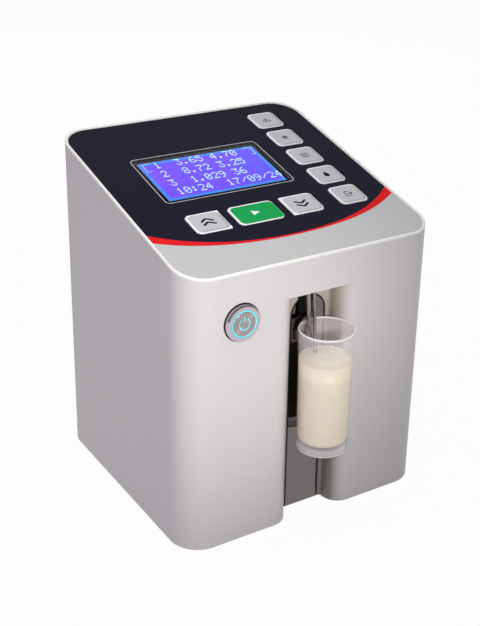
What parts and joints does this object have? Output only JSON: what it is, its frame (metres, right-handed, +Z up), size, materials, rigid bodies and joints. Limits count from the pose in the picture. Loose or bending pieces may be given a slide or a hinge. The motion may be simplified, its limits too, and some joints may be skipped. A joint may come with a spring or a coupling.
{
  "type": "milk analyzer",
  "caption": "Bench milk analyzer: tall housing with rounded edges, sloped keypad panel with display, and a front bay where a sample cup hangs around steel tubes.",
  "frame": {"origin": "bottom centre of the whole analyzer's box, on the surface that its feet stand on", "axes": "+X to the analyzer's own right as seen from the front, +Y to its back, +Z up"},
  "size_m": [0.15, 0.1754, 0.1883],
  "materials": {
    "housing_silver": "satin, moulded plastic lacquered silver grey",
    "rim_white": "semi-gloss off-white",
    "overlay_print": "satin printed film, dark navy field, red band, grey foot",
    "key_grey": "embossed satin film",
    "key_green": "embossed satin film",
    "window_clear": "clear",
    "display_blue": "backlit blue glass",
    "tinned_steel": "tinned",
    "board_green": "solder mask",
    "black_plastic": "moulded black",
    "polished_steel": "polished stainless",
    "brushed_cap": "brushed stainless",
    "light_ring": "lit cyan ring",
    "screw_steel": "zinc plated",
    "rubber_black": "matte",
    "cup_clear": "clear, slightly frosted",
    "milk": "creamy liquid",
    "aluminium_plain": "satin",
    "brass_plain": "turned",
    "hose_silicone": "translucent silicone",
    "pump_clear": "clear cover",
    "ribbon_grey": "flat cable",
    "heater_amber": "film heater"
  },
  "bodies": {
    "case": {"housing": "housing_silver", "base_plate": "aluminium_plain", "feet": "rubber_black", "rear_panel": "aluminium_plain", "case_screws": "screw_steel", "dc_jack": "black_plastic", "usb_port": "tinned_steel", "serial_port": "tinned_steel", "serial_jackscrews": "screw_steel", "ph_socket": "tinned_steel", "connector_nuts": "screw_steel", "power_button_body": "polished_steel", "power_button_ring": "light_ring", "power_button_gasket": "rubber_black", "power_button_nut": "tinned_steel", "top_cover": "rim_white", "keypad_overlay": "overlay_print", "display_window": "window_clear", "display_frame": "tinned_steel", "display_glass": "display_blue", "display_board": "board_green", "key_board": "board_green", "key_switches": "black_plastic", "panel_screws": "screw_steel", "display_cable": "ribbon_grey", "bay_plate": "polished_steel", "suction_tube": "polished_steel", "return_tube": "polished_steel", "fluid_head": "black_plastic", "cup_hook": "black_plastic", "main_board": "board_green", "board_parts": "black_plastic", "board_standoffs": "brass_plain", "inner_screws": "screw_steel", "measuring_cell": "aluminium_plain", "transducers": "tinned_steel", "cell_heater": "heater_amber", "cell_bracket": "aluminium_plain", "pump_head": "black_plastic", "pump_cover": "pump_clear", "pump_bracket": "aluminium_plain", "pump_motor": "tinned_steel", "pump_tube": "hose_silicone", "hose_joiners": "black_plastic", "hoses": "hose_silicone"},
    "cup": {"sample_cup": "cup_clear", "milk_sample": "milk"},
    "power_cap": {"power_button_cap": "brushed_cap"},
    "pump_rotor": {"pump_rotor": "tinned_steel"},
    "key_exit": {"key_exit": "key_grey"},
    "key_ph": {"key_ph": "key_grey"},
    "key_menu": {"key_menu": "key_grey"},
    "key_clean": {"key_clean": "key_grey"},
    "key_save": {"key_save": "key_grey"},
    "key_up": {"key_up": "key_grey"},
    "key_enter": {"key_enter": "key_green"},
    "key_down": {"key_down": "key_grey"},
    "pump_roller_1": {"pump_roller_1": "black_plastic"},
    "pump_roller_2": {"pump_roller_2": "black_plastic"},
    "pump_roller_3": {"pump_roller_3": "black_plastic"}
  },
  "joints": [
    {"name": "key_exit_press", "type": "slide", "parent": "case", "child": "key_exit", "axis": [0, 0.2422, -0.9702], "range_m": [0, 0.0005], "stiffness_N_per_m": 3000, "springref_m": -0.0002},
    {"name": "key_ph_press", "type": "slide", "parent": "case", "child": "key_ph", "axis": [0, 0.2422, -0.9702], "range_m": [0, 0.0005], "stiffness_N_per_m": 3000, "springref_m": -0.0002},
    {"name": "key_menu_press", "type": "slide", "parent": "case", "child": "key_menu", "axis": [0, 0.2422, -0.9702], "range_m": [0, 0.0005], "stiffness_N_per_m": 3000, "springref_m": -0.0002},
    {"name": "key_clean_press", "type": "slide", "parent": "case", "child": "key_clean", "axis": [0, 0.2422, -0.9702], "range_m": [0, 0.0005], "stiffness_N_per_m": 3000, "springref_m": -0.0002},
    {"name": "key_save_press", "type": "slide", "parent": "case", "child": "key_save", "axis": [0, 0.2422, -0.9702], "range_m": [0, 0.0005], "stiffness_N_per_m": 3000, "springref_m": -0.0002},
    {"name": "key_up_press", "type": "slide", "parent": "case", "child": "key_up", "axis": [0, 0.2422, -0.9702], "range_m": [0, 0.0005], "stiffness_N_per_m": 3000, "springref_m": -0.0002},
    {"name": "key_enter_press", "type": "slide", "parent": "case", "child": "key_enter", "axis": [0, 0.2422, -0.9702], "range_m": [0, 0.0005], "stiffness_N_per_m": 3000, "springref_m": -0.0002},
    {"name": "key_down_press", "type": "slide", "parent": "case", "child": "key_down", "axis": [0, 0.2422, -0.9702], "range_m": [0, 0.0005], "stiffness_N_per_m": 3000, "springref_m": -0.0002},
    {"name": "power_press", "type": "slide", "parent": "case", "child": "power_cap", "axis": [0, 1, 0], "range_m": [0, 0.0025], "stiffness_N_per_m": 1000, "springref_m": -0.001},
    {"name": "cup_drop", "type": "slide", "parent": "case", "child": "cup", "axis": [0, 0, 1], "range_m": [-0.044, 0]},
    {"name": "pump_spin", "type": "hinge", "parent": "case", "child": "pump_rotor", "pos_m": [0.03, 0.00358, 0.037], "axis": [0, -1, 0], "continuous": true},
    {"name": "roller_1_spin", "type": "hinge", "parent": "pump_rotor", "child": "pump_roller_1", "pos_m": [0.03, -0.00573, 0.04535], "axis": [0, -1, 0], "continuous": true},
    {"name": "roller_2_spin", "type": "hinge", "parent": "pump_rotor", "child": "pump_roller_2", "pos_m": [0.02277, -0.00573, 0.03283], "axis": [0, -1, 0], "continuous": true},
    {"name": "roller_3_spin", "type": "hinge", "parent": "pump_rotor", "child": "pump_roller_3", "pos_m": [0.03723, -0.00573, 0.03283], "axis": [0, -1, 0], "continuous": true}
  ],
  "couplings": [
    {"joint": "roller_1_spin", "follows": "pump_spin", "ratio": -3.3857},
    {"joint": "roller_2_spin", "follows": "pump_spin", "ratio": -3.3857},
    {"joint": "roller_3_spin", "follows": "pump_spin", "ratio": -3.3857}
  ]
}
